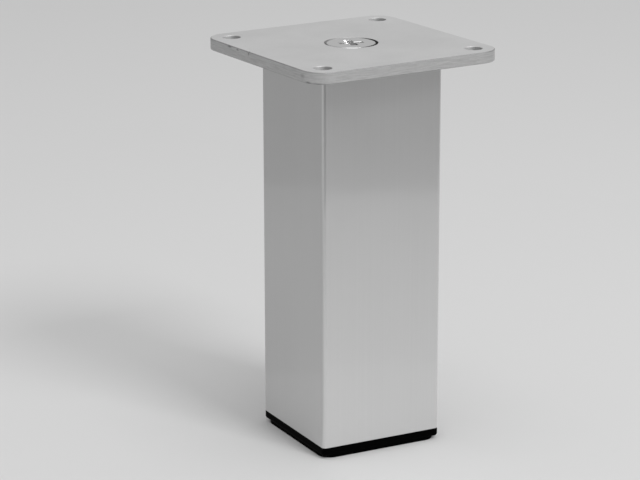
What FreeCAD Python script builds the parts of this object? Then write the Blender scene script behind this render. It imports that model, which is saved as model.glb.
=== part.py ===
import FreeCAD, Part
import math
import os

import Sketcher

# A square furniture leg: steel mounting plate, countersunk screw, plug with a captive nut,
# extruded aluminium tube and a moulded foot. The origin is on the floor under the leg's middle,
# +Z is up and the plate's sides lie along X and Y. All lengths are in millimetres.

doc = FreeCAD.newDocument("table_leg")
sheet = doc.addObject("Spreadsheet::Sheet", "sizes")

# Driving dimensions: alias, number, what it is
DRIVING = (
    ("plate_width", 80, "mounting plate, side of the square"),
    ("plate_thickness", 4.2, "mounting plate, sheet thickness"),
    ("plate_corner_radius", 8.5, "mounting plate, rounding of the corners in plan"),
    ("plate_top_round", 0.4, "mounting plate, edges and holes drawn down by the punch on the top"),
    ("plate_edge_round", 0.2, "mounting plate, lower edge broken by tumbling"),
    ("plate_turn", 4, "degrees that the plate stands turned against the tube"),
    ("nick_place", 5.75, "nick in the plate's left edge, from the edge's middle"),
    ("nick_width", 0.9, "nick, along the edge"),
    ("nick_depth", 0.7, "nick, into the plate"),
    ("nick_height", 1.4, "nick, down from the plate's top"),
    ("hole_inset", 8, "corner holes, from their centres to the plate's sides"),
    ("hole_diameter", 6.5, "corner holes"),
    ("countersink_diameter", 20, "centre hole, at the plate's top"),
    ("countersink_angle", 90, "degrees across the countersink and under the screw's head"),
    ("bore_clearance", 0.5, "room all round the screw in the plate and in the plug"),
    ("head_diameter", 18.3, "screw head"),
    ("head_rim", 0.8, "upright rim of the screw head"),
    ("head_edge_round", 0.4, "screw head, rounded upper edge"),
    ("thread_diameter", 10, "screw thread, nominal"),
    ("thread_pitch", 1.5, "screw thread, pitch"),
    ("thread_clearance", 0.05, "room all round the screw in the nut"),
    ("screw_length", 25, "screw, from the head's flat top to its tip"),
    ("tip_chamfer", 1.2, "screw tip"),
    ("recess_width", 9.4, "cross recess, tip to tip at the head's top"),
    ("recess_wing", 2.8, "cross recess, width of a wing at the head's top"),
    ("recess_depth", 4.6, "cross recess, depth"),
    ("recess_foot_width", 5.1, "cross recess, tip to tip at its bottom"),
    ("recess_foot_wing", 1.3, "cross recess, width of a wing at its bottom"),
    ("recess_turn", -15, "degrees that the tightened screw's recess stands turned against the plate"),
    ("tube_width", 49, "tube, side of the square"),
    ("tube_wall", 1.5, "tube, wall thickness"),
    ("tube_corner_radius", 1.5, "tube, outer rounding of its long edges"),
    ("tube_inner_radius", 0.5, "tube, inner rounding of its long edges"),
    ("tube_length", 141.5, "tube, cut length"),
    ("sleeve_gap", 0.75, "room between the tube's inside and a push-in sleeve, bridged by the fins"),
    ("sleeve_wall", 2.2, "wall of a push-in sleeve"),
    ("sleeve_corner_radius", 2.5, "outer rounding of the sleeves and their fins"),
    ("fin_thickness", 1.2, "fins around the sleeves, along the tube"),
    ("fin_spacing", 5, "fins, from one to the next"),
    ("fin_start", 3, "first fin, from the end of the tube"),
    ("plug_height", 26, "top plug, along the tube"),
    ("plug_deck", 4, "top plug, thickness of its top"),
    ("plug_web", 2.4, "top plug, thickness of the webs between boss and sleeve"),
    ("boss_wall", 2.5, "top plug, plastic around the nut's corners"),
    ("nut_cover", 7, "top plug, plastic above the nut"),
    ("nut_lip", 1, "top plug, pocket below the nut"),
    ("nut_flats", 16, "nut, across flats"),
    ("nut_height", 8.4, "nut, height"),
    ("nut_clearance", 0.1, "room all round the nut in its pocket"),
    ("foot_height", 4.3, "foot, what shows below the tube"),
    ("foot_sole", 3, "foot, thickness of its sole"),
    ("foot_pad_height", 1, "foot, pad that it stands on"),
    ("foot_pad_inset", 0.5, "foot, from its sides in to the pad's"),
    ("foot_pad_radius", 5, "foot, rounding of the pad's corners in plan"),
    ("foot_edge_round", 1.2, "foot, rounded lower edge around the pad"),
    ("foot_sleeve_height", 20, "foot, what stands inside the tube"),
)
for row, (alias, number, meaning) in enumerate(DRIVING, start=1):
    sheet.set(f"A{row}", meaning)
    sheet.set(f"B{row}", str(number))
    sheet.setAlias(f"B{row}", alias)
doc.recompute()

FINS = 3
SIDES = 4
NUT_SIDES = 6
RIM_SHARE = 0.9
THREAD_FLANK_SHARE = 0.65
NUT_FACE_SHARE = 0.95
NUT_CHAMFER_ANGLE = 30
CHAMFER_REACH_SHARE = 1.25

# Sizes worked out from the driving dimensions
JOINT_LEVEL = "(sizes.foot_height + sizes.tube_length)"
HOLE_PLACE = "(sizes.plate_width / 2 - sizes.hole_inset)"
CONE_SLOPE = "tan(sizes.countersink_angle / 2 * 1 deg)"
BORE_DIAMETER = "(sizes.thread_diameter + 2 * sizes.bore_clearance)"
SHANK_RADIUS = f"((sizes.thread_diameter - {THREAD_FLANK_SHARE} * sizes.thread_pitch) / 2)"
HEAD_RADIUS = "(sizes.head_diameter / 2)"
RIM_DROP = f"((sizes.countersink_diameter - sizes.head_diameter) / 2 / {CONE_SLOPE})"
RIM_LEVEL = f"(sizes.plate_thickness - {RIM_DROP})"
HEAD_LEVEL = f"({RIM_LEVEL} + sizes.head_rim)"
HEAD_ROUND = f"min(sizes.head_edge_round; {RIM_SHARE} * sizes.head_rim)"
NECK_LEVEL = f"({RIM_LEVEL} - ({HEAD_RADIUS} - {SHANK_RADIUS}) / {CONE_SLOPE})"
TIP_LEVEL = f"({HEAD_LEVEL} - sizes.screw_length)"
TUBE_BORE = "(sizes.tube_width - 2 * sizes.tube_wall)"
SLEEVE_WIDTH = f"({TUBE_BORE} - 2 * sizes.sleeve_gap)"
SLEEVE_BORE = f"({SLEEVE_WIDTH} - 2 * sizes.sleeve_wall)"
FOOT_ROUND = f"min(sizes.foot_edge_round; {RIM_SHARE} * sizes.tube_corner_radius)"
SLEEVE_INNER_RADIUS = "max(sizes.sleeve_corner_radius - sizes.sleeve_wall; sizes.sleeve_wall / 4)"
NUT_LEVEL = "(-sizes.nut_cover)"
BOSS_LENGTH = "(sizes.nut_cover + sizes.nut_height + sizes.nut_lip)"
POCKET_FLATS = "(sizes.nut_flats + 2 * sizes.nut_clearance)"
BOSS_DIAMETER = f"({POCKET_FLATS} / cos(30 deg) + 2 * sizes.boss_wall)"


def value(expression):
    """The number that an expression has now, for the first shape of a sketch."""
    return float(sheet.evalExpression(expression))


def new_body(label, level="0", turn="0"):
    """A sub-part with its own label, standing at a level and turned about the leg's axis."""
    body = doc.addObject("PartDesign::Body", label)
    body.Label = label
    body.Placement = FreeCAD.Placement(
        FreeCAD.Vector(0, 0, value(level)), FreeCAD.Rotation(FreeCAD.Vector(0, 0, 1), value(turn))
    )
    body.setExpression("Placement.Base.z", level)
    body.setExpression("Placement.Rotation.Angle", turn)
    return body


def origin_feature(body, role):
    """One of the body's own planes or axes."""
    return next(item for item in body.Origin.OriginFeatures if item.Role == role)


def new_sketch(body, name, level="0", role="XY_Plane"):
    """An empty sketch on one of the body's planes, at a level along that plane's normal."""
    sketch = body.newObject("Sketcher::SketchObject", name)
    sketch.AttachmentSupport = [(origin_feature(body, role), "")]
    sketch.MapMode = "FlatFace"
    sketch.setExpression("AttachmentOffset.Base.z", level)
    return sketch


def drive(sketch, constraint, name, expression):
    """Adds a dimension to a sketch and binds it to an expression."""
    index = sketch.addConstraint(constraint)
    sketch.renameConstraint(index, name)
    sketch.setExpression(f"Constraints.{name}", expression)


def add_circle(sketch, diameter, name="hole", centre=None):
    """A circle about the origin, or about a pair of expressions."""
    x, y = (value(part) for part in centre) if centre else (0, 0)
    circle = Part.Circle(FreeCAD.Vector(x, y, 0), FreeCAD.Vector(0, 0, 1), value(diameter) / 2)
    geo = sketch.addGeometry(circle, False)
    if centre:
        drive(sketch, Sketcher.Constraint("DistanceX", -1, 1, geo, 3, x), f"{name}_x", centre[0])
        drive(sketch, Sketcher.Constraint("DistanceY", -1, 1, geo, 3, y), f"{name}_y", centre[1])
    else:
        sketch.addConstraint(Sketcher.Constraint("Coincident", geo, 3, -1, 1))
    drive(sketch, Sketcher.Constraint("Diameter", geo, value(diameter)), f"{name}_diameter", diameter)


def add_outline(sketch, points, name="outline"):
    """A closed outline of straight sides through points, each a pair of expressions."""
    places = [FreeCAD.Vector(value(x), value(y), 0) for x, y in points]
    count = len(places)
    sides = [
        sketch.addGeometry(Part.LineSegment(places[k], places[(k + 1) % count]), False) for k in range(count)
    ]
    for k, (x, y) in enumerate(points):
        sketch.addConstraint(Sketcher.Constraint("Coincident", sides[k - 1], 2, sides[k], 1))
        across = (-2, "DistanceX", x, places[k].x)
        along = (-1, "DistanceY", y, places[k].y)
        for axis, kind, expression, number in (across, along):
            if expression == "0":
                sketch.addConstraint(Sketcher.Constraint("PointOnObject", sides[k], 1, axis))
            else:
                spot = f"{name}_{kind[-1].lower()}{k}"
                drive(sketch, Sketcher.Constraint(kind, -1, 1, sides[k], 1, number), spot, expression)


def add_rounded_square(sketch, width, radius, name="square"):
    """A square about the origin with rounded corners."""
    half = value(width) / 2
    rounding = value(radius)
    flat = half - rounding
    sides = []
    corners = []
    for k in range(SIDES):
        turn = FreeCAD.Rotation(FreeCAD.Vector(0, 0, 1), k * 90)
        start = turn.multVec(FreeCAD.Vector(-flat, -half, 0))
        end = turn.multVec(FreeCAD.Vector(flat, -half, 0))
        centre = turn.multVec(FreeCAD.Vector(flat, -flat, 0))
        circle = Part.Circle(centre, FreeCAD.Vector(0, 0, 1), rounding)
        arc = Part.ArcOfCircle(circle, (k - 1) * math.pi / 2, k * math.pi / 2)
        sides.append(sketch.addGeometry(Part.LineSegment(start, end), False))
        corners.append(sketch.addGeometry(arc, False))
    for k in range(SIDES):
        sketch.addConstraint(Sketcher.Constraint("Tangent", sides[k], 2, corners[k], 1))
        sketch.addConstraint(Sketcher.Constraint("Tangent", corners[k], 2, sides[(k + 1) % SIDES], 1))
        sketch.addConstraint(Sketcher.Constraint("Vertical" if k % 2 else "Horizontal", sides[k]))
    for corner in corners[1:]:
        sketch.addConstraint(Sketcher.Constraint("Equal", corners[0], corner))
    sketch.addConstraint(Sketcher.Constraint("Equal", sides[0], sides[1]))
    sketch.addConstraint(Sketcher.Constraint("Symmetric", corners[0], 3, corners[2], 3, -1, 1))
    across = Sketcher.Constraint("DistanceX", sides[3], 1, sides[1], 1, 2 * half)
    drive(sketch, across, f"{name}_width", width)
    drive(sketch, Sketcher.Constraint("Radius", corners[0], rounding), f"{name}_radius", radius)


def extrude(body, kind, sketch, length=None, reverse=False):
    """A Pad or a Pocket of a sketch, through all where it has no length."""
    feature = body.newObject(f"PartDesign::{kind}", f"{sketch.Name}_{kind.lower()}")
    feature.Profile = sketch
    feature.Reversed = reverse
    if length:
        feature.setExpression("Length", length)
    else:
        feature.Type = "ThroughAll"
    doc.recompute()
    return feature


def turned(body, kind, sketch):
    """A Revolution or a Groove of a sketch about the leg's axis."""
    feature = body.newObject(f"PartDesign::{kind}", f"{sketch.Name}_{kind.lower()}")
    feature.Profile = sketch
    feature.ReferenceAxis = (sketch, ["V_Axis"])
    feature.Angle = 360
    doc.recompute()
    return feature


def repeat_around(body, feature, count):
    """Copies of a feature about the leg's axis."""
    pattern = body.newObject("PartDesign::PolarPattern", f"{feature.Name}_around")
    pattern.Originals = [feature]
    pattern.Axis = (origin_feature(body, "Z_Axis"), [""])
    pattern.Angle = 360
    pattern.Occurrences = count
    body.Tip = pattern
    doc.recompute()
    return pattern


def round_edges(body, name, radius, wanted):
    """A fillet on the edges of the body's last feature that a test picks."""
    base = body.Tip
    edges = [f"Edge{k}" for k, edge in enumerate(base.Shape.Edges, start=1) if wanted(edge)]
    fillet = body.newObject("PartDesign::Fillet", name)
    fillet.Base = (base, edges)
    fillet.setExpression("Radius", radius)
    doc.recompute()


def lies_at(edge, level):
    """Whether an edge lies flat at a level of its body."""
    box = edge.BoundBox
    return abs(box.ZMin - level) < 1e-4 and abs(box.ZMax - level) < 1e-4


def hexagon(flats):
    """The corners of a hexagon with two flats square to X."""
    corners = []
    for k in range(NUT_SIDES):
        angle = f"({k} * 60 + 30) * 1 deg"
        reach = f"{flats} / 2 / cos(30 deg)"
        corners.append((f"{reach} * cos({angle})", f"{reach} * sin({angle})"))
    return corners


def cross(width, wing):
    """The corners of a plus sign with four equal wings."""
    tip = f"({width} / 2)"
    side = f"({wing} / 2)"
    quarter = ((tip, f"-{side}"), (tip, side), (side, side))
    corners = list(quarter)
    for _ in range(SIDES - 1):
        quarter = [(f"-{y}".replace("--", ""), x) for x, y in quarter]
        corners.extend(quarter)
    return corners


def cut_countersink(body, clearance):
    """Cuts the screw head's cone, wider by a clearance, from a body with its zero at the tube's end."""
    reach = f"(sizes.countersink_diameter / 2 + {clearance})"
    apex = f"sizes.plate_thickness - {reach} / {CONE_SLOPE}"
    sketch = new_sketch(body, f"{body.Name}_countersink", role="XZ_Plane")
    add_outline(sketch, (("0", apex), (reach, "sizes.plate_thickness"), ("0", "sizes.plate_thickness")))
    turned(body, "Groove", sketch)


def cut_nick(body):
    """Cuts a nick into the plate's left edge, widest at the edge and running down from the plate's top."""
    sketch = new_sketch(body, "plate_nick", "sizes.plate_thickness - sizes.nick_height")
    edge = "(-sizes.plate_width / 2)"
    points = (
        (f"{edge} - sizes.nick_depth", "sizes.nick_place"),
        (edge, "sizes.nick_place - sizes.nick_width / 2"),
        (f"{edge} + sizes.nick_depth", "sizes.nick_place"),
        (edge, "sizes.nick_place + sizes.nick_width / 2"),
    )
    add_outline(sketch, points)
    extrude(body, "Pocket", sketch, reverse=True)


def add_sleeve(body, height, level, upward):
    """A push-in sleeve with its fins, from the tube's end into the tube."""
    sleeve = new_sketch(body, f"{body.Name}_sleeve", level)
    add_rounded_square(sleeve, SLEEVE_WIDTH, "sizes.sleeve_corner_radius", "outside")
    add_rounded_square(sleeve, SLEEVE_BORE, SLEEVE_INNER_RADIUS, "inside")
    extrude(body, "Pad", sleeve, height, not upward)
    into_tube = 1 if upward else -1
    for k in range(FINS):
        fin_level = f"{level} + {into_tube} * (sizes.fin_start + {k} * sizes.fin_spacing)"
        fin = new_sketch(body, f"{body.Name}_fin_{k + 1}", fin_level)
        add_rounded_square(fin, TUBE_BORE, "sizes.sleeve_corner_radius", "outside")
        add_rounded_square(fin, SLEEVE_BORE, SLEEVE_INNER_RADIUS, "inside")
        extrude(body, "Pad", fin, "sizes.fin_thickness", not upward)


def make_mounting_plate():
    """A stamped square plate with four plain corner holes, a countersunk centre hole and a nicked edge."""
    body = new_body("mounting_plate", JOINT_LEVEL)
    blank = new_sketch(body, "plate_blank")
    add_rounded_square(blank, "sizes.plate_width", "sizes.plate_corner_radius")
    extrude(body, "Pad", blank, "sizes.plate_thickness")
    round_edges(body, "plate_broken_edge", "sizes.plate_edge_round", lambda e: lies_at(e, 0))
    corner = new_sketch(body, "plate_corner_hole")
    add_circle(corner, "sizes.hole_diameter", centre=(HOLE_PLACE, HOLE_PLACE))
    repeat_around(body, extrude(body, "Pocket", corner, reverse=True), SIDES)
    top_level = value("sizes.plate_thickness")
    round_edges(body, "plate_punched_edge", "sizes.plate_top_round", lambda e: lies_at(e, top_level))
    centre = new_sketch(body, "plate_centre_hole")
    add_circle(centre, BORE_DIAMETER)
    extrude(body, "Pocket", centre, reverse=True)
    cut_countersink(body, "0")
    cut_nick(body)
    return body


def make_plate_screw():
    """A countersunk screw with a cross recess, its thread drawn plain at its mean diameter."""
    body = new_body("plate_screw", JOINT_LEVEL, "sizes.recess_turn")
    profile = new_sketch(body, "screw_profile", role="XZ_Plane")
    tip_radius = f"{SHANK_RADIUS} - sizes.tip_chamfer"
    points = (
        ("0", HEAD_LEVEL),
        ("0", TIP_LEVEL),
        (tip_radius, TIP_LEVEL),
        (SHANK_RADIUS, f"{TIP_LEVEL} + sizes.tip_chamfer"),
        (SHANK_RADIUS, NECK_LEVEL),
        (HEAD_RADIUS, RIM_LEVEL),
        (HEAD_RADIUS, HEAD_LEVEL),
    )
    add_outline(profile, points)
    turned(body, "Revolution", profile)
    round_edges(body, "head_edge", HEAD_ROUND, lambda e: lies_at(e, value(HEAD_LEVEL)))
    mouth = new_sketch(body, "recess_mouth", HEAD_LEVEL)
    add_outline(mouth, cross("sizes.recess_width", "sizes.recess_wing"))
    foot = new_sketch(body, "recess_foot", f"{HEAD_LEVEL} - sizes.recess_depth")
    add_outline(foot, cross("sizes.recess_foot_width", "sizes.recess_foot_wing"))
    recess = body.newObject("PartDesign::SubtractiveLoft", "screw_recess")
    recess.Profile = mouth
    recess.Sections = [foot]
    recess.Ruled = True
    doc.recompute()
    return body


def make_top_plug():
    """A moulded plug in the tube's top: finned sleeve, deck, and a webbed boss with the nut's pocket."""
    body = new_body("top_plug", JOINT_LEVEL, "-sizes.plate_turn")
    add_sleeve(body, "sizes.plug_height", "0", upward=False)
    deck = new_sketch(body, "plug_deck")
    add_rounded_square(deck, SLEEVE_WIDTH, "sizes.sleeve_corner_radius")
    extrude(body, "Pad", deck, "sizes.plug_deck", reverse=True)
    boss = new_sketch(body, "plug_boss")
    add_circle(boss, BOSS_DIAMETER)
    extrude(body, "Pad", boss, BOSS_LENGTH, reverse=True)
    web = new_sketch(body, "plug_web")
    web_reach = f"{SLEEVE_WIDTH} / 2 - sizes.sleeve_wall / 2"
    side = "sizes.plug_web / 2"
    add_outline(web, (("0", f"-{side}"), (web_reach, f"-{side}"), (web_reach, side), ("0", side)))
    repeat_around(body, extrude(body, "Pad", web, BOSS_LENGTH, reverse=True), SIDES)
    bore = new_sketch(body, "plug_bore")
    add_circle(bore, BORE_DIAMETER)
    extrude(body, "Pocket", bore)
    pocket = new_sketch(body, "plug_nut_pocket", NUT_LEVEL)
    add_outline(pocket, hexagon(POCKET_FLATS))
    extrude(body, "Pocket", pocket)
    cut_countersink(body, "sizes.bore_clearance")
    return body


def make_captive_nut():
    """A hex nut, its corners chamfered on both faces and its thread drawn plain."""
    body = new_body("captive_nut", JOINT_LEVEL, "-sizes.plate_turn")
    blank = new_sketch(body, "nut_blank", NUT_LEVEL)
    add_outline(blank, hexagon("sizes.nut_flats"))
    extrude(body, "Pad", blank, "sizes.nut_height", reverse=True)
    face = f"{NUT_FACE_SHARE} * sizes.nut_flats / 2"
    reach = f"{CHAMFER_REACH_SHARE} * sizes.nut_flats / 2"
    drop = f"({reach} - {face}) * tan({NUT_CHAMFER_ANGLE} deg)"
    low = f"({NUT_LEVEL} - sizes.nut_height)"
    for name, level, slope in (("upper", NUT_LEVEL, f"-{drop}"), ("lower", low, f"+ {drop}")):
        chamfer = new_sketch(body, f"nut_{name}_chamfer", role="XZ_Plane")
        add_outline(chamfer, ((face, level), (reach, f"{level} {slope}"), (reach, level)))
        turned(body, "Groove", chamfer)
    bore = new_sketch(body, "nut_bore", NUT_LEVEL)
    add_circle(bore, f"2 * ({SHANK_RADIUS} + sizes.thread_clearance)")
    extrude(body, "Pocket", bore)
    return body


def make_leg_tube():
    """An extruded square tube."""
    body = new_body("leg_tube", "sizes.foot_height", "-sizes.plate_turn")
    section = new_sketch(body, "tube_section")
    add_rounded_square(section, "sizes.tube_width", "sizes.tube_corner_radius", "outside")
    add_rounded_square(section, TUBE_BORE, "sizes.tube_inner_radius", "inside")
    extrude(body, "Pad", section, "sizes.tube_length")
    return body


def make_foot_glide():
    """A moulded foot: a rim flush with the tube, a rounder pad under it and a finned sleeve in the tube."""
    body = new_body("foot_glide", turn="-sizes.plate_turn")
    rim = new_sketch(body, "foot_rim", "sizes.foot_pad_height")
    add_rounded_square(rim, "sizes.tube_width", "sizes.tube_corner_radius")
    extrude(body, "Pad", rim, "sizes.foot_height - sizes.foot_pad_height")
    rim_level = value("sizes.foot_pad_height")
    round_edges(body, "foot_rim_edge", FOOT_ROUND, lambda e: lies_at(e, rim_level))
    pad = new_sketch(body, "foot_pad")
    add_rounded_square(pad, "sizes.tube_width - 2 * sizes.foot_pad_inset", "sizes.foot_pad_radius")
    extrude(body, "Pad", pad, "sizes.foot_sole")
    add_sleeve(body, "sizes.foot_sleeve_height", "sizes.foot_height", upward=True)
    hollow = new_sketch(body, "foot_hollow", "sizes.foot_sole")
    add_rounded_square(hollow, SLEEVE_BORE, SLEEVE_INNER_RADIUS)
    extrude(body, "Pocket", hollow, reverse=True)
    return body


PIECES = (
    make_mounting_plate(),
    make_plate_screw(),
    make_top_plug(),
    make_captive_nut(),
    make_leg_tube(),
    make_foot_glide(),
)
doc.recompute()

# Every object has to be sound, and every piece one valid solid, before anything is written
for item in doc.Objects:
    if {"Invalid", "Error"} & set(item.State):
        raise RuntimeError(f"{item.Label}: {item.State}")
for piece in PIECES:
    if piece.Shape.isNull() or not piece.Shape.isValid() or len(piece.Shape.Solids) != 1:
        raise RuntimeError(f"{piece.Label} is not one valid solid")

os.makedirs("parts", exist_ok=True)
for piece in PIECES:
    piece.Shape.exportStep(f"parts/{piece.Label}.step")
    print(f"{piece.Label}: {piece.Shape.Volume / 1000:.2f} cm3, {piece.Shape.BoundBox}")
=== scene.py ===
import math

import bpy
from mathutils import Matrix, Vector

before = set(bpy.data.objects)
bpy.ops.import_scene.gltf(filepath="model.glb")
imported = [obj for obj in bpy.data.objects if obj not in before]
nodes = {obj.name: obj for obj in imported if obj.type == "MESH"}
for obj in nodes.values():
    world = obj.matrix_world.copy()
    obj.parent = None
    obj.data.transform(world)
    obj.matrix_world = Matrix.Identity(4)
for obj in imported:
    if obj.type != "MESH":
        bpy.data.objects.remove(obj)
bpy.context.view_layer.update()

# The photograph's camera, in metres and degrees; the focal length is in the picture's own pixels
PICTURE_WIDTH = 640
FOCAL_PIXELS = 2553.8
SENSOR_WIDTH = 36.0
VIEW_AZIMUTH = -31.595
VIEW_ELEVATION = 15.995
VIEW_ROLL = -0.104
VIEW_DISTANCE = 0.95368
AIM_HEIGHT = 0.074976
AIM_RIGHT = -0.011508
CLIP_START = 0.01

# The studio, in metres and in greys from 0 to 1
FLOOR_SIZE = 8.0
FLOOR_GREY = 0.69
WORLD_GREY = 0.635
WORLD_STRENGTH = 1.0
MATT = {"Roughness": 0.9, "Specular IOR Level": 0.1}

# Its cards: on either side two lie on the floor, one beyond the other, up to the foot of an upright one
RIGHT_AZIMUTH = 20
RIGHT_FIRST_END = 0.12
RIGHT_FLAG_DISTANCE = 0.392
LEFT_AZIMUTH = 203
LEFT_FIRST_END = 0.085
LEFT_FLAG_DISTANCE = 0.385
LEFT_GREY = 0.41
OVERHEAD_AZIMUTH = -6
FLOOR_CARD_WIDTH = 0.7
FLOOR_CARD_RISE = 0.0003
BLACK = 0.02

# The span in which most of a noise's values lie
NOISE_SPAN = (0.3, 0.7)

# Where the plate's cut edges and rims are, told by how level they lie, and where its outline starts
CUT_EDGE_RISE = (0.6, 0.9)
RIM_START_RISE = (0.1, 0.4)
RIM_END_RISE = (0.96, 0.995)
OUTLINE_SPAN = 0.037

# How they look: streaks along the edges, painted shade that dims the rims at the holes and more at the
# outline, and the faces' fainter relief
STREAK_SPAN = (0.25, 0.75)
STREAK_TONES = (0.475, 0.635)
RIM_PAINTED_SHADE_TONES = (0.88, 0.6)
EDGE_ROUGHNESS = 0.14
FACE_RELIEF = 0.3

# Painted shade in the plate's hollows and on the screw head's rim, deepest towards one level direction and
# less deep opposite; the hole walls are painted lighter where they look along it and darker where they look
# against it
SHADE_DIRECTION = (0.847, -0.532, 0)
OPPOSITE_SHADE = 0.45
HOLE_FACING_SPAN = (-0.3, 0.5)
HOLE_WALL_PAINTED_LIGHT_AND_SHADE = (0.72, 1.25)
COUNTERSINK_RADIUS = 0.00998
COUNTERSINK_SHADE_SPAN = (0.3, 0.75)
COUNTERSINK_PAINTED_SHADE_TONES = (0.35, 0.03)
HEAD_RIM_RADIUS = 0.0088
HEAD_RIM_SHADE_SPAN = (0.45, 0.75)
HEAD_RIM_PAINTED_SHADE_TONES = (1.0, 0.08)

# Dark spots on the plate's left edge, the last two being painted shade along its lower rim at the front
# corner: place and reach along each axis in metres, and the share of tone left
EDGE_SPOTS_AND_PAINTED_SHADE = (
    ((-0.0400, 0.00575, 0.1493), (0.0012, 0.0007, 0.0012), 0.45),
    ((-0.0400, 0.0195, 0.1495), (0.0010, 0.0022, 0.0006), 0.45),
    ((-0.0400, 0.0137, 0.1493), (0.0010, 0.0014, 0.0005), 0.45),
    ((-0.0400, -0.0315, 0.1480), (0.0020, 0.0022, 0.0010), 0.75),
    ((-0.0395, -0.0345, 0.1460), (0.0020, 0.0018, 0.0008), 0.45),
    ((-0.0375, -0.0375, 0.1459), (0.0034, 0.0040, 0.0004), 0.45),
)

scene = bpy.context.scene


def view_axes(azimuth, elevation):
    """The right, up and backward directions of a camera; azimuth 0 looks along +Y."""
    az = math.radians(azimuth)
    el = math.radians(elevation)
    right = Vector((math.cos(az), math.sin(az), 0))
    back = Vector((math.sin(az) * math.cos(el), -math.cos(az) * math.cos(el), math.sin(el)))
    return right, back.cross(right), back


def opaque(grey):
    """A grey as a colour that lets nothing through."""
    return grey, grey, grey, 1.0


class Shader:
    """A node material that is built up call by call."""

    def __init__(self, name):
        self.material = bpy.data.materials.new(name)
        self.material.use_nodes = True
        self.tree = self.material.node_tree
        self.surface = self.tree.nodes["Principled BSDF"]

    def set(self, node, inputs):
        """Gives a node's inputs numbers, colours or links."""
        for name, what in inputs.items():
            socket = node.inputs[name]
            if isinstance(what, bpy.types.NodeSocket):
                self.tree.links.new(what, socket)
            else:
                socket.default_value = what
        return node

    def add(self, kind, inputs=None, **settings):
        """A new node with its settings and inputs."""
        node = self.tree.nodes.new(f"ShaderNode{kind}")
        for name, what in settings.items():
            setattr(node, name, what)
        return self.set(node, inputs or {})

    def math(self, operation, first, second=0.0):
        """The result of one sum of numbers."""
        return self.add("Math", {0: first, 1: second}, operation=operation).outputs[0]

    def vectors(self, operation, first, second=(0, 0, 0)):
        """The outputs of one sum of vectors: its Vector and its Value."""
        return self.add("VectorMath", {0: first, 1: second}, operation=operation).outputs

    def ramp(self, what, span, onto, **settings):
        """A number moved from one span onto another, and held at its ends."""
        low, high = span
        start, end = onto
        inputs = {"Value": what, "From Min": low, "From Max": high, "To Min": start, "To Max": end}
        return self.add("MapRange", inputs, **settings).outputs["Result"]

    def blend(self, share, first, second):
        """A number between two others, the second where the share is 1."""
        return self.ramp(share, (0.0, 1.0), (first, second))

    def grey(self, value):
        """A grey colour of a changing brightness."""
        channels = dict.fromkeys(("Red", "Green", "Blue"), value)
        return self.add("CombineColor", channels).outputs["Color"]

    def position(self, scale=(1, 1, 1)):
        """The place on the object in metres, stretched along each axis."""
        place = self.add("TexCoord").outputs["Object"]
        return self.add("Mapping", {"Vector": place, "Scale": scale}).outputs["Vector"]

    def noise(self, grains, detail, roughness=0.5):
        """Noise between 0 and 1 with so many grains per metre along each axis."""
        inputs = {"Vector": self.position(grains), "Scale": 1.0, "Detail": detail, "Roughness": roughness}
        return self.add("TexNoise", inputs).outputs["Fac"]

    def spread(self, noise, low, high):
        """Noise moved from its usual span onto the span from low to high."""
        return self.ramp(noise, NOISE_SPAN, (low, high))

    def facing(self, direction):
        """1 on faces that look along a direction, -1 on those that look the other way."""
        normal = self.add("NewGeometry").outputs["Normal"]
        return self.vectors("DOT_PRODUCT", normal, direction)["Value"]

    def rise(self):
        """1 on level faces, 0 on upright ones and between on the rounded rims."""
        return self.math("ABSOLUTE", self.facing((0, 0, 1)))

    def offsets(self):
        """How far a place lies from the object's upright axis along X and along Y, in metres."""
        place = self.add("SeparateXYZ", {"Vector": self.position()}).outputs
        return place["X"], place["Y"]

    def beyond(self, distance):
        """1 farther than a distance from the object's upright axis along X or Y, and 0 nearer to it."""
        spans = [self.math("ABSOLUTE", offset) for offset in self.offsets()]
        return self.math("GREATER_THAN", self.math("MAXIMUM", *spans), distance)

    def within(self, radius):
        """1 nearer to the object's upright axis than a radius, and 0 beyond it."""
        squares = [self.math("MULTIPLY", offset, offset) for offset in self.offsets()]
        return self.math("LESS_THAN", self.math("ADD", *squares), radius ** 2)

    def shade(self, radius):
        """1 at a radius towards the shaded side of a hollow, less at that radius opposite, and 0 between."""
        place = self.position((1 / radius,) * 3)
        towards = self.vectors("DOT_PRODUCT", place, SHADE_DIRECTION)["Value"]
        return self.math("MAXIMUM", towards, self.math("MULTIPLY", towards, -OPPOSITE_SHADE))

    def spot(self, place, reach):
        """1 at a place on the object, fading to 0 at a reach along each axis."""
        offset = self.vectors("SUBTRACT", self.position(), place)["Vector"]
        share = self.vectors("DIVIDE", offset, reach)["Vector"]
        length = self.vectors("LENGTH", share)["Value"]
        return self.ramp(length, (0.0, 1.0), (1.0, 0.0), interpolation_type="SMOOTHSTEP")

    def bump(self, height, distance, strength):
        """A bumped normal."""
        inputs = {"Height": height, "Distance": distance, "Strength": strength}
        return self.add("Bump", inputs).outputs["Normal"]


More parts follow.
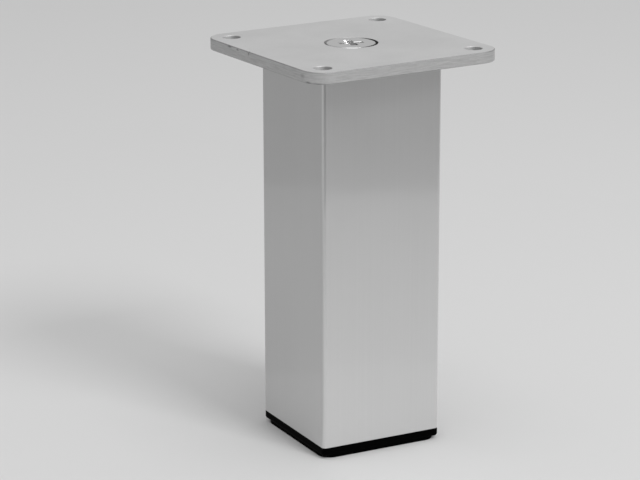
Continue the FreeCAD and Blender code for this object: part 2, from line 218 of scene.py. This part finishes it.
def anodised_aluminium():
    """Satin natural anodised extrusion: fine lines along the tube under a clear, smoother oxide coat."""
    shader = Shader("anodised_aluminium")
    lines = shader.noise(grains=(2600, 2600, 9), detail=4, roughness=0.6)
    clouds = shader.noise(grains=(60, 60, 25), detail=2)
    line_tone = shader.spread(lines, low=0.57, high=0.59)
    cloud_tone = shader.spread(clouds, low=-0.005, high=0.005)
    line_roughness = shader.spread(lines, low=0.33, high=0.36)
    cloud_roughness = shader.spread(clouds, low=-0.01, high=0.01)
    shader.set(shader.surface, {
        "Metallic": 0.9,
        "Specular IOR Level": 0.3,
        "Coat Weight": 1.0,
        "Coat IOR": 1.9,
        "Coat Roughness": 0.075,
        "Base Color": shader.grey(shader.math("ADD", line_tone, cloud_tone)),
        "Roughness": shader.math("ADD", line_roughness, cloud_roughness),
        "Normal": shader.bump(lines, distance=0.000006, strength=0.3),
    })
    return shader.material


def edge_spots_and_painted_shade(shader, tone):
    """A tone with the dark spots of the plate's left edge in it, some of them painted shade along its lower
    rim.
    """
    for place, reach, share_left in EDGE_SPOTS_AND_PAINTED_SHADE:
        mark = shader.spot(place, reach)
        tone = shader.math("MULTIPLY", tone, shader.blend(mark, 1.0, share_left))
    return tone


def rolled_steel():
    """Matt stamped sheet steel: faintly clouded faces, rough cut edges with streaks along them, and painted
    light and shade on its rims, hole walls and countersink.
    """
    shader = Shader("rolled_steel")
    grain = shader.noise(grains=(900, 900, 900), detail=5, roughness=0.65)
    clouds = shader.noise(grains=(45, 45, 45), detail=3)
    streaks = shader.noise(grains=(170, 170, 2400), detail=4, roughness=0.6)

    rise = shader.rise()
    edge = shader.ramp(rise, CUT_EDGE_RISE, (1.0, 0.0))
    rim_start = shader.ramp(rise, RIM_START_RISE, (0.0, 1.0))
    rim_end = shader.ramp(rise, RIM_END_RISE, (1.0, 0.0))
    rim = shader.math("MULTIPLY", rim_start, rim_end)
    outline = shader.beyond(OUTLINE_SPAN)

    face_tone = shader.spread(clouds, low=0.572, high=0.622)
    streak_tone = shader.ramp(streaks, STREAK_SPAN, STREAK_TONES)
    # Painted light and shade on the hole walls: lighter where they look along SHADE_DIRECTION, darker where
    # they look against it
    wall_painted_light_and_shade = shader.ramp(shader.facing(SHADE_DIRECTION), HOLE_FACING_SPAN, HOLE_WALL_PAINTED_LIGHT_AND_SHADE)
    edge_streaks_and_painted_walls = shader.math("MULTIPLY", streak_tone, shader.blend(outline, wall_painted_light_and_shade, 1.0))
    # Dark edge spots, some of them painted shade along the lower rim
    tone = edge_spots_and_painted_shade(shader, shader.blend(edge, face_tone, edge_streaks_and_painted_walls))
    # Painted shade that dims the rounded rims of the holes and, more, of the outline
    rim_painted_shade = shader.blend(outline, *RIM_PAINTED_SHADE_TONES)
    tone = shader.math("MULTIPLY", tone, shader.blend(rim, 1.0, rim_painted_shade))
    # Painted shade in the countersink's gap round the screw head, deepest towards SHADE_DIRECTION
    countersink_painted_shade = shader.ramp(shader.shade(COUNTERSINK_RADIUS), COUNTERSINK_SHADE_SPAN, COUNTERSINK_PAINTED_SHADE_TONES)
    tone = shader.blend(shader.within(COUNTERSINK_RADIUS), tone, countersink_painted_shade)

    face_roughness = shader.spread(grain, low=0.46, high=0.56)
    added_roughness = shader.math("MULTIPLY", shader.math("MAXIMUM", edge, rim), EDGE_ROUGHNESS)
    relief = shader.blend(edge, shader.math("MULTIPLY", grain, FACE_RELIEF), streaks)
    shader.set(shader.surface, {
        "Metallic": 0.95,
        "Specular IOR Level": 0.3,
        "Base Color": shader.grey(tone),
        "Roughness": shader.math("ADD", face_roughness, added_roughness),
        "Normal": shader.bump(relief, distance=0.00008, strength=0.6),
    })
    return shader.material


def zinc_plate(name, shaded_rim):
    """Bright zinc plate, with painted shade on a screw head's rim, as from its countersink, where asked for.
    """
    shader = Shader(name)
    grain = shader.noise(grains=(700, 700, 700), detail=4)
    tone = shader.spread(grain, low=0.505, high=0.545)
    if shaded_rim:
        # Painted shade on the screw head's rim, deepest towards SHADE_DIRECTION
        rim_painted_shade = shader.ramp(shader.shade(HEAD_RIM_RADIUS), HEAD_RIM_SHADE_SPAN, HEAD_RIM_PAINTED_SHADE_TONES)
        tone = shader.math("MULTIPLY", tone, shader.blend(shader.within(HEAD_RIM_RADIUS), rim_painted_shade, 1.0))
    shader.set(shader.surface, {
        "Metallic": 1.0,
        "Base Color": shader.grey(tone),
        "Roughness": shader.spread(grain, low=0.05, high=0.09),
    })
    return shader.material


def black_plastic():
    """Black moulded plastic with a fine spark-eroded grain."""
    shader = Shader("black_plastic")
    grain = shader.noise(grains=(3500, 3500, 3500), detail=3)
    tone = shader.spread(grain, low=0.0008, high=0.0016)
    shader.set(shader.surface, {
        "Specular IOR Level": 0.008,
        "Base Color": shader.grey(tone),
        "Roughness": shader.spread(grain, low=0.42, high=0.52),
        "Normal": shader.bump(grain, distance=0.00002, strength=0.5),
    })
    return shader.material


def paint_nodes():
    """Gives every solid its finish."""
    plastic = black_plastic()
    finishes = {
        "leg_tube": anodised_aluminium(),
        "mounting_plate": rolled_steel(),
        "plate_screw": zinc_plate("screw_zinc", shaded_rim=True),
        "captive_nut": zinc_plate("nut_zinc", shaded_rim=False),
        "top_plug": plastic,
        "foot_glide": plastic,
    }
    for name, material in finishes.items():
        mesh = nodes[name].data
        mesh.materials.clear()
        mesh.materials.append(material)


def add_sheet(name, corners, grey, glow=0.0):
    """A flat matt sheet with four corners, grey or glowing."""
    mesh = bpy.data.meshes.new(name)
    mesh.from_pydata(corners, [], [(0, 1, 2, 3)])
    shader = Shader(name)
    shader.set(shader.surface, {
        "Base Color": opaque(grey),
        "Emission Color": opaque(1.0),
        "Emission Strength": glow,
        **MATT,
    })
    mesh.materials.append(shader.material)
    sheet = bpy.data.objects.new(name, mesh)
    scene.collection.objects.link(sheet)
    return sheet


def add_floor():
    """A plain pale floor that fills the picture."""
    half = FLOOR_SIZE / 2
    corners = [(-half, -half, 0), (half, -half, 0), (half, half, 0), (-half, half, 0)]
    floor = add_sheet("floor", corners, FLOOR_GREY)


def add_card(name, corners, grey, glow=0.0):
    """A studio card that only reflections see."""
    card = add_sheet(name, corners, grey, glow)
    card.visible_camera = False
    card.visible_diffuse = False
    card.visible_shadow = False


def add_flag(name, azimuth, distance, size, grey, low=0.0, glow=0.0):
    """A card that stands upright, on the floor or above it, and faces the leg."""
    right, _, back = view_axes(azimuth, 0)
    width, height = size
    start = back * distance + Vector((0, 0, low))
    half = right * width / 2
    rise = Vector((0, 0, height))
    add_card(name, [start - half, start + half, start + half + rise, start - half + rise], grey, glow)


def add_floor_card(name, azimuth, near, far, grey, glow=0.0):
    """A card that lies on the floor, from near to far along a direction."""
    right, _, back = view_axes(azimuth, 0)
    rise = Vector((0, 0, FLOOR_CARD_RISE))
    half = right * FLOOR_CARD_WIDTH / 2
    corners = [back * near - half, back * near + half, back * far + half, back * far - half]
    add_card(name, [corner + rise for corner in corners], grey, glow)


def add_ceiling(name, azimuth, reach, height, width, glow):
    """A glowing card that hangs level, its middle at a reach along a direction."""
    right, _, back = view_axes(azimuth, 0)
    middle = back * reach + Vector((0, 0, height))
    sides = ((-1, -1), (1, -1), (1, 1), (-1, 1))
    corners = [middle + (right * across + back * along) * width / 2 for across, along in sides]
    add_card(name, corners, grey=0.0, glow=glow)


def add_softbox(name, azimuth, elevation, distance, size, watts):
    """A square area lamp that looks at the leg's foot from a direction of its own."""
    back = view_axes(azimuth, elevation)[2]
    data = bpy.data.lights.new(name, "AREA")
    data.shape = "SQUARE"
    data.size = size
    data.energy = watts
    lamp = bpy.data.objects.new(name, data)
    turn = back.to_track_quat("Z", "Y").to_matrix().to_4x4()
    lamp.matrix_world = Matrix.Translation(back * distance) @ turn
    scene.collection.objects.link(lamp)


def add_world():
    """Even grey light from all round."""
    world = bpy.data.worlds.new("studio")
    world.use_nodes = True
    background = world.node_tree.nodes["Background"]
    background.inputs["Color"].default_value = opaque(WORLD_GREY)
    background.inputs["Strength"].default_value = WORLD_STRENGTH
    scene.world = world


def add_lamps():
    """A softbox to the right, which throws the shadow, and a weaker one above."""
    add_softbox("key_softbox", azimuth=10.5, elevation=43, distance=2.6, size=0.7, watts=23)
    add_softbox("top_softbox", azimuth=OVERHEAD_AZIMUTH, elevation=80, distance=1.2, size=0.6, watts=2.0)


def add_flags():
    """The upright cards round the leg, which the tube's front corner and upper faces reflect."""
    add_flag("right_flag", RIGHT_AZIMUTH, RIGHT_FLAG_DISTANCE, size=(1.0, 0.22), grey=0.51)
    add_flag("front_flag", azimuth=-29, distance=0.37, size=(0.5, 0.22), grey=0.30)
    add_flag("left_flag", LEFT_AZIMUTH, LEFT_FLAG_DISTANCE, size=(0.7, 0.3), grey=0.445)


def add_recess_cards():
    """The small cards above the plate, which the screw's recess reflects: one glowing, for a painted
    highlight, and two black, for painted shade.
    """
    add_flag("recess_card", azimuth=3.7, distance=0.3, size=(0.022, 0.04), grey=0.0, low=0.17, glow=2.0)
    add_flag("recess_flag", azimuth=18.6, distance=0.0306, size=(0.012, 0.022), grey=BLACK, low=0.166)
    add_flag("recess_lid", azimuth=6, distance=0.031, size=(0.026, 0.02), grey=BLACK, low=0.1795)


def add_floor_cards():
    """The cards on the floor at both sides, which the lower part of the tube's faces reflects; the left ones
    also glow faintly, a painted light that lifts the leg's shadow on them.
    """
    add_floor_card("right_reflector", RIGHT_AZIMUTH, near=0.0, far=RIGHT_FIRST_END, grey=0.86)
    add_floor_card("right_card", RIGHT_AZIMUTH, RIGHT_FIRST_END, RIGHT_FLAG_DISTANCE, grey=0.775)
    add_floor_card("left_reflector", LEFT_AZIMUTH, near=0.0, far=LEFT_FIRST_END, grey=LEFT_GREY, glow=0.19)
    add_floor_card("left_card", LEFT_AZIMUTH, LEFT_FIRST_END, LEFT_FLAG_DISTANCE, LEFT_GREY, glow=0.135)


def add_light():
    """Even studio light with two softboxes and the cards that the metal reflects."""
    add_world()
    add_lamps()
    add_flags()
    add_recess_cards()
    add_floor_cards()
    add_ceiling("ceiling_card", OVERHEAD_AZIMUTH, reach=0.25, height=1.3, width=1.0, glow=2.3)


def add_camera():
    """The camera at the photograph's viewing angle."""
    right, up, back = view_axes(VIEW_AZIMUTH, VIEW_ELEVATION)
    roll = math.radians(VIEW_ROLL)
    across = right * math.cos(roll) + up * math.sin(roll)
    upward = up * math.cos(roll) - right * math.sin(roll)
    place = Vector((0, 0, AIM_HEIGHT)) + right * AIM_RIGHT + back * VIEW_DISTANCE
    data = bpy.data.cameras.new("camera")
    data.sensor_width = SENSOR_WIDTH
    data.lens = FOCAL_PIXELS / PICTURE_WIDTH * SENSOR_WIDTH
    data.clip_start = CLIP_START
    camera = bpy.data.objects.new("camera", data)
    turn = Matrix((across, upward, back)).transposed().to_4x4()
    camera.matrix_world = Matrix.Translation(place) @ turn
    scene.collection.objects.link(camera)
    scene.camera = camera


paint_nodes()
add_floor()
add_light()
add_camera()
scene.view_settings.view_transform = "Standard"
